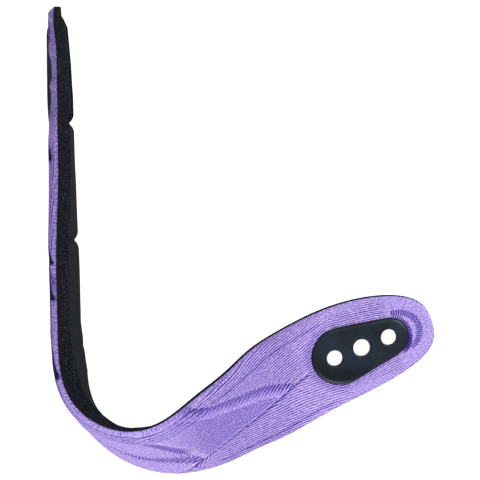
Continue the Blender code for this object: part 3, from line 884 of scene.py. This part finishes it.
# ---------------------------------------------------------------- materials
class Nodes:
    def __init__(self, name):
        self.mat = bpy.data.materials.new(name)
        self.mat.use_nodes = True
        self.t = self.mat.node_tree
        self.bsdf = self.t.nodes["Principled BSDF"]

    def new(self, kind, **props):
        n = self.t.nodes.new(kind)
        for k, v in props.items():
            setattr(n, k, v)
        return n

    def put(self, socket, value):
        if isinstance(value, bpy.types.NodeSocket):
            self.t.links.new(value, socket)
        else:
            socket.default_value = value

    def math(self, op, a, b=0.0, c=0.0, clamp=False):
        n = self.new("ShaderNodeMath", operation=op, use_clamp=clamp)
        for k, v in enumerate((a, b, c)):
            self.put(n.inputs[k], v)
        return n.outputs[0]

    def attribute(self, name):
        return self.new("ShaderNodeAttribute", attribute_name=name)

    def split(self, vector):
        n = self.new("ShaderNodeSeparateXYZ")
        self.put(n.inputs[0], vector)
        return n.outputs

    def join(self, x, y, z):
        n = self.new("ShaderNodeCombineXYZ")
        for k, v in enumerate((x, y, z)):
            self.put(n.inputs[k], v)
        return n.outputs[0]

    def noise(self, vector, scale, detail=3.0, rough=0.55):
        n = self.new("ShaderNodeTexNoise")
        self.put(n.inputs["Vector"], vector)
        n.inputs["Scale"].default_value = scale
        n.inputs["Detail"].default_value = detail
        n.inputs["Roughness"].default_value = rough
        return n.outputs[0]

    def mix(self, fac, a, b):
        n = self.new("ShaderNodeMix", data_type="RGBA")
        self.put(n.inputs[0], fac)
        self.put(n.inputs[6], a)
        self.put(n.inputs[7], b)
        return n.outputs[2]

    def bump(self, height, strength, distance):
        n = self.new("ShaderNodeBump")
        self.put(n.inputs["Height"], height)
        n.inputs["Strength"].default_value = strength
        n.inputs["Distance"].default_value = distance
        self.t.links.new(n.outputs[0], self.bsdf.inputs["Normal"])

    def rough(self, lo, hi, fac):
        n = self.new("ShaderNodeMapRange")
        self.put(n.inputs[0], fac)
        n.inputs[3].default_value, n.inputs[4].default_value = lo, hi
        self.t.links.new(n.outputs[0], self.bsdf.inputs["Roughness"])


def rgb(r, g, b):
    """sRGB 0-255 to a linear colour."""
    def lin(c):
        c /= 255.0
        return c / 12.92 if c <= 0.04045 else ((c + 0.055) / 1.055) ** 2.4
    return (lin(r), lin(g), lin(b), 1.0)


def knit_material():
    m = Nodes("lilac_rib_knit")
    flat = m.attribute("flat").outputs["Vector"]
    sx, sy, sw = m.split(flat)
    phase, power, dark = m.split(m.attribute("knit").outputs["Vector"])
    # ribs: a rounded ridge every RIB mm, with a narrow valley
    turn = m.math("MULTIPLY", phase, math.pi / RIB)
    rib = m.math("ABSOLUTE", m.math("SINE", turn))
    valley = m.math("POWER", m.math("MULTIPLY_ADD", m.math("COSINE", m.math("MULTIPLY", turn, 2.0)), 0.5, 0.5), 1.15)
    # stitches: V-shaped loops along each rib
    cell = m.math("FRACT", m.math("DIVIDE", phase, RIB))
    arm = m.math("ABSOLUTE", m.math("SUBTRACT", m.math("MULTIPLY", cell, 2.0), 1.0))
    run = m.math("ADD", m.math("MULTIPLY", sx, 1.0 / 0.92), m.math("MULTIPLY", arm, 0.62))
    loop = m.math("ABSOLUTE", m.math("SINE", m.math("MULTIPLY", run, math.pi)))
    # the yarn is a heather: pale and dark flecks, stronger patches here and there
    fleck = m.noise(m.join(m.math("MULTIPLY", sx, 1.15), m.math("MULTIPLY", sy, 1.6), 0.0), 1.0, 2.0, 0.6)
    streak = m.noise(m.join(m.math("MULTIPLY", sx, 0.28), m.math("MULTIPLY", phase, 1.1), 7.0), 1.0, 2.0, 0.6)
    patch = m.noise(m.join(sx, sy, sw), 0.09, 2.0, 0.5)
    # streaks vary how strongly the rib valleys are painted with shade
    streaky_valley_shade = m.math("MULTIPLY_ADD", streak, 2.2, -0.25, clamp=True)
    valley = m.math("MULTIPLY", valley, m.math("MULTIPLY", power, streaky_valley_shade))
    pale = m.math("MULTIPLY_ADD", fleck, 4.6, -2.05, clamp=True)
    deep_fleck = m.math("MULTIPLY_ADD", fleck, -4.6, 2.15, clamp=True)
    ground = m.mix(m.math("MULTIPLY", power, 1.0, clamp=True), rgb(138, 117, 208), rgb(218, 191, 255))
    body = m.mix(m.math("MULTIPLY", pale, 0.92), ground, rgb(240, 224, 255))
    body = m.mix(m.math("MULTIPLY", deep_fleck, 0.85), body, rgb(74, 40, 166))
    body = m.mix(m.math("MULTIPLY", m.math("SUBTRACT", 1.0, loop), 0.26), body, rgb(124, 92, 204))
    body = m.mix(m.math("MULTIPLY", patch, 0.16), body, rgb(160, 134, 226))
    # painted shade in the valleys between the ribs
    body = m.mix(m.math("MULTIPLY", valley, 1.0, clamp=True), body, rgb(44, 8, 148))
    # painted shade from the knit attribute: walls, creases and pits darken towards dark violet, and towards near black
    # where the value passes 1.6
    shade = m.math("MULTIPLY", m.math("MAXIMUM", dark, 0.0), m.math("MULTIPLY_ADD", valley, 0.80, 0.36), clamp=True)
    body = m.mix(shade, body, rgb(62, 32, 150))
    body = m.mix(m.math("SUBTRACT", dark, 1.6, clamp=True), body, rgb(22, 12, 48))
    # painted highlight where that value is negative, lifting the colour towards pale lilac
    painted_highlight = m.math("MULTIPLY", m.math("MAXIMUM", m.math("MULTIPLY", dark, -1.0), 0.0), 0.9, clamp=True)
    body = m.mix(painted_highlight, body, rgb(238, 228, 255))
    m.put(m.bsdf.inputs["Base Color"], body)
    m.rough(0.72, 0.92, fleck)
    m.bsdf.inputs["Sheen Weight"].default_value = 0.02
    m.bsdf.inputs["Sheen Roughness"].default_value = 0.5
    m.bsdf.inputs["Specular IOR Level"].default_value = 0.10
    height = m.math("ADD", m.math("MULTIPLY", loop, 0.5), m.math("MULTIPLY", rib, m.math("MULTIPLY", power, 0.6)))
    height = m.math("ADD", height, m.math("MULTIPLY", fleck, 0.6))
    m.bump(height, 0.85, 0.00025)
    return m.mat


def lining_material():
    m = Nodes("charcoal_close_knit")
    sx, sy, sw = m.split(m.attribute("flat").outputs["Vector"])
    _, _, margin = m.split(m.attribute("knit").outputs["Vector"])
    wale = m.math("ABSOLUTE", m.math("SINE", m.math("MULTIPLY", sy, math.pi / 0.62)))
    course = m.math("ABSOLUTE", m.math("SINE", m.math("ADD", m.math("MULTIPLY", sx, math.pi / 0.55), m.math("MULTIPLY", wale, 0.9))))
    weave = m.math("MULTIPLY", wale, course)
    fleck = m.noise(m.join(sx, sy, sw), 1.9, 3.0, 0.6)
    patch = m.noise(m.join(sx, sy, sw), 0.12, 2.0, 0.5)
    body = m.mix(weave, rgb(2, 4, 9), rgb(8, 13, 21))
    body = m.mix(m.math("MULTIPLY_ADD", fleck, 7.0, -3.75, clamp=True), body, rgb(66, 74, 84))
    body = m.mix(m.math("MULTIPLY", patch, 0.3), body, rgb(10, 13, 20))
    body = m.mix(m.math("MULTIPLY", margin, 0.45), body, rgb(17, 15, 21))
    m.put(m.bsdf.inputs["Base Color"], body)
    m.rough(0.74, 0.92, fleck)
    m.bsdf.inputs["Sheen Weight"].default_value = 0.01
    m.bsdf.inputs["Sheen Roughness"].default_value = 0.4
    m.bsdf.inputs["Specular IOR Level"].default_value = 0.10
    m.bump(m.math("ADD", weave, m.math("MULTIPLY", fleck, 0.4)), 0.6, 0.00012)
    return m.mat


def plate_material(name, low, high, r0, r1):
    m = Nodes(name)
    tc = m.new("ShaderNodeTexCoord").outputs["Object"]
    grain = m.noise(tc, 2600.0, 3.0, 0.6)
    cloud = m.noise(tc, 55.0, 3.0, 0.5)
    # the base colour is mottled by a broad cloud between the low and high colours; on the end plates the bluish high
    # colour is a painted sheen
    m.put(m.bsdf.inputs["Base Color"], m.mix(m.math("MULTIPLY_ADD", cloud, 3.2, -1.1, clamp=True), low, high))
    m.rough(r0, r1, m.math("ADD", m.math("MULTIPLY", cloud, 0.6), m.math("MULTIPLY", grain, 0.4)))
    m.bsdf.inputs["Specular IOR Level"].default_value = 0.38
    m.bsdf.inputs["Specular Tint"].default_value = (0.78, 0.90, 1.0, 1.0)
    m.bump(m.math("ADD", grain, m.math("MULTIPLY", cloud, 0.5)), 0.16, 0.00006)
    return m.mat


def foam_material():
    m = Nodes("grey_foam")
    tc = m.new("ShaderNodeTexCoord").outputs["Object"]
    v = m.new("ShaderNodeTexVoronoi")
    m.put(v.inputs["Vector"], tc)
    v.inputs["Scale"].default_value = 1400.0
    cells = v.outputs["Distance"]
    cloud = m.noise(tc, 300.0, 3.0, 0.6)
    m.put(m.bsdf.inputs["Base Color"], m.mix(m.math("ADD", cells, m.math("MULTIPLY", cloud, 0.5)), rgb(58, 58, 62), rgb(96, 96, 100)))
    m.rough(0.85, 0.97, cloud)
    m.bump(cells, 0.7, 0.0002)
    return m.mat


def web_material():
    m = Nodes("woven_webbing")
    sx, sy, sw = m.split(m.attribute("flat").outputs["Vector"])
    over = m.math("MULTIPLY", m.math("SINE", m.math("MULTIPLY", m.math("ADD", sx, sy), math.pi / 0.8)),
                  m.math("SINE", m.math("MULTIPLY", m.math("SUBTRACT", sx, sy), math.pi / 0.8)))
    fac = m.math("MULTIPLY_ADD", over, 0.5, 0.5)
    m.put(m.bsdf.inputs["Base Color"], m.mix(fac, rgb(18, 18, 21), rgb(40, 40, 45)))
    m.rough(0.5, 0.75, fac)
    m.bump(fac, 0.6, 0.0002)
    return m.mat


def wear(ob, mat):
    ob.data.materials.clear()
    ob.data.materials.append(mat)


# ---------------------------------------------------------------- build the pieces
knit = knit_material()
charcoal = lining_material()
foam = foam_material()
webbing = web_material()
# the end plates' bluish upper colour is a painted sheen
black = plate_material("satin_black_elastomer", rgb(2, 4, 8), rgb(24, 35, 49), 0.36, 0.44)
black_back = plate_material("black_backing", rgb(24, 27, 31), rgb(32, 35, 40), 0.48, 0.60)

MIDS = [0.0] + [0.5 * (a + b) for a, b in zip(GROOVES[:-1], GROOVES[1:])] + [LENGTH]
FINE = rows_for(100)
PAD_ROWS = rows_for(44, 1.15)
IN_ROWS = np.array([-1.0, -0.99, -0.98, -0.965, -0.95, -0.93, -0.87, -0.83, -0.815, -0.79, -0.76, -0.5, -0.25, 0.0, 0.25, 0.5, 0.76, 0.79, 0.815, 0.83, 0.87, 0.93, 0.95, 0.965, 0.98, 0.99, 1.0])
BLOCK_ROWS = np.linspace(-1.0, 1.0, 25)
ZONE = 0.0095


def blend_zone(k):
    """Two points on the seam line bounding a stretch round groove k; beside an end plate the stretch stays clear of
    the plate.
    """
    g = GROOVES[k]
    if k == 0:
        a, b = 0.0650, 0.0825
    elif k == 5:
        a, b = LENGTH - 0.0870, LENGTH - 0.0695
    else:
        a, b = g - ZONE, g + ZONE
    p, t, _, _ = (v[0] for v in at(np.array([g])))
    return tuple(p + t * (a - g)), tuple(p + t * (b - g))


for k in range(6):
    a, b = MIDS[k], MIDS[k + 1]
    end = "a" if k == 0 else ("b" if k == 5 else None)
    n1, n2 = k + 1, k + 2
    start, stop = blend_zone(k)
    fine = stations(a, b, 0.00046, end)
    pads = stations(a, b, 0.0007, end)
    made = []
    cover = sheet_mesh("knit_cover_fold_%d" % n1, fine, FINE, IN_ROWS, cover_top, cover_low, end,
                       opening=None if end is None else stadium(NECK_R + 0.0005))
    wear(cover, knit)
    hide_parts("knit_cover_%d" % n1, "knit_cover_%d" % n2)
    made.append(cover)

    lining = sheet_mesh("lining_fold_%d" % n1, pads, PAD_ROWS, IN_ROWS, lining_top, lining_low, end,
                        edge=RIM, shift=0.00040, opening=None if end is None else offset(OUTLINE, 0.0008), knit_on="low")
    wear(lining, charcoal)
    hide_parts("lining_%d" % n1, "lining_%d" % n2)
    made.append(lining)

    inner_a = a if k else 0.0088
    inner_b = b if k < 5 else LENGTH - 0.0088
    web = sheet_mesh("tension_web_fold_%d" % n1, np.linspace(inner_a, inner_b, 60 if end is None else 110),
                     np.linspace(-1, 1, 45), None, web_top, web_low, end, scale=0.75,
                     opening=None if end is None else stadium(NECK_R + 0.0005))
    wear(web, webbing)
    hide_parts("tension_web_%d" % n1, "tension_web_%d" % n2)
    made.append(web)

    inner_a = a if k else 0.0125
    inner_b = b if k < 5 else LENGTH - 0.0125
    pad = sheet_mesh("foam_pad_fold_%d" % n1, np.linspace(inner_a, inner_b, 72 if end is None else 120),
                     np.linspace(-1, 1, 49), None, pad_top, pad_low, end, scale=0.79,
                     opening=None if end is None else offset(OUTLINE, 0.0016), knit_on="low")
    wear(pad, foam)
    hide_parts("foam_pad_%d" % n1, "foam_pad_%d" % n2)
    made.append(pad)
    for ob in made:
        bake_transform(ob)


def lip(r, big):
    """Rounded edge of a bore: drop (m) at a distance r outside its wall."""
    q = np.clip(r / big, 0.0, 1.0)
    return 0.8 * big * (1.0 - np.sqrt(1.0 - (1.0 - q) ** 2))


def plate_face(co):
    d = -nearest(co[:, 0], co[:, 1], OUTLINE)[0]
    e = np.clip(d / 0.0019, 0.0, 1.0)
    z = 0.0046 + 0.0011 * np.sqrt(1.0 - (1.0 - e) ** 2)
    z = z + 0.00055 * (1.0 - (1.0 - np.clip(d / 0.0125, 0.0, 1.0)) ** 2.2)
    for i, r in enumerate(HOLE_R):
        z = z - lip(np.hypot(co[:, 0] - (i - 1) * PITCH, co[:, 1]) - r, 0.00075)
    return z


BACK_OUTLINE = offset(OUTLINE, -0.0002)


def back_face(co):
    d = -nearest(co[:, 0], co[:, 1], BACK_OUTLINE)[0]
    e = np.clip(d / 0.0009, 0.0, 1.0)
    z = BACK_BOTTOM + 0.0006 - 0.0006 * np.sqrt(1.0 - (1.0 - e) ** 2)
    for i, r in enumerate(HOLE_R):
        z = z + lip(np.hypot(co[:, 0] - (i - 1) * PITCH, co[:, 1]) - r - 0.0004, 0.0005)
    return z


for end, body in (("a", "section_1"), ("b", "section_7")):
    plate = moulded("end_plate_detail_" + end, end, OUTLINE, plate_face,
                    (0.00008, 0.0002, 0.0004, 0.0007, 0.0011, 0.0015, 0.002, 0.0026, 0.0034), PLATE_BOTTOM,
                    neck=stadium(NECK_R), neck_z=BACK_TOP + 0.0002, taper=0.0004)
    wear(plate, black)
    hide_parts("end_plate_" + end)
    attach(plate, body)
    back = moulded("backing_plate_detail_" + end, end, BACK_OUTLINE, back_face,
                   (0.00008, 0.0002, 0.0004, 0.0007, 0.0011), BACK_TOP, taper=0.0004)
    wear(back, black_back)
    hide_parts("backing_plate_" + end)
    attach(back, body)


# ---------------------------------------------------------------- floor, light, camera
def floor():
    bm = bmesh.new()
    bmesh.ops.create_grid(bm, x_segments=24, y_segments=24, size=3.0)
    me = bpy.data.meshes.new("floor")
    bm.to_mesh(me)
    bm.free()
    ob = bpy.data.objects.new("floor", me)
    ob.location = (0.0, 0.0, cad_lo.z - 0.0001)
    bpy.context.scene.collection.objects.link(ob)
    m = Nodes("pale_floor")
    tc = m.new("ShaderNodeTexCoord").outputs["Object"]
    tone = m.noise(tc, 3.0, 2.0, 0.5)
    m.put(m.bsdf.inputs["Base Color"], m.mix(tone, (0.44, 0.44, 0.442, 1.0), (0.47, 0.47, 0.472, 1.0)))
    m.rough(0.75, 0.85, tone)
    m.bsdf.inputs["Emission Color"].default_value = (1.0, 1.0, 1.0, 1.0)
    m.bsdf.inputs["Emission Strength"].default_value = 0.96
    m.bsdf.inputs["Specular IOR Level"].default_value = 0.1
    wear(ob, m.mat)
    ob.visible_diffuse = False
    ob.visible_glossy = False


def area(name, where, aim, size, power, colour=(1.0, 1.0, 1.0)):
    light = bpy.data.lights.new(name, "AREA")
    light.shape = "RECTANGLE"
    light.size, light.size_y = size
    light.energy = power
    light.color = colour
    ob = bpy.data.objects.new(name, light)
    ob.location = where
    ob.rotation_mode = "QUATERNION"
    ob.rotation_quaternion = (Vector(aim) - Vector(where)).to_track_quat("-Z", "Y")
    bpy.context.scene.collection.objects.link(ob)


floor()
area("key", (0.80, 0.78, 0.62), (0.0, 0.0, 0.0), (0.50, 0.50), 13.6)
area("fill", (-0.12, -1.05, 0.50), (0.0, 0.0, 0.0), (0.9, 0.9), 12.7, (1.0, 0.99, 0.98))
area("soft_top", (0.05, 0.78, 1.35), (0.0, 0.0, 0.0), (1.1, 1.1), 4.5)

world = bpy.data.worlds.new("studio")
world.use_nodes = True
bg = world.node_tree.nodes["Background"]
bg.inputs[0].default_value = (1.0, 1.0, 1.0, 1.0)
bg.inputs[1].default_value = 0.37
bpy.context.scene.world = world
bpy.context.scene.view_settings.view_transform = "Standard"
bpy.context.scene.view_settings.look = "None"

cam = bpy.data.cameras.new("camera")
cam.sensor_width = 36.0
cam.lens = 36.0 * 1676.7 / 480.0
cam.clip_start, cam.clip_end = 0.05, 20.0
cam_ob = bpy.data.objects.new("camera", cam)
cam_ob.location = (-0.00117, 0.00179, 0.900)
cam_ob.rotation_euler = (0.0, 0.0, math.radians(0.12))
bpy.context.scene.collection.objects.link(cam_ob)
bpy.context.scene.camera = cam_ob

bpy.context.view_layer.update()
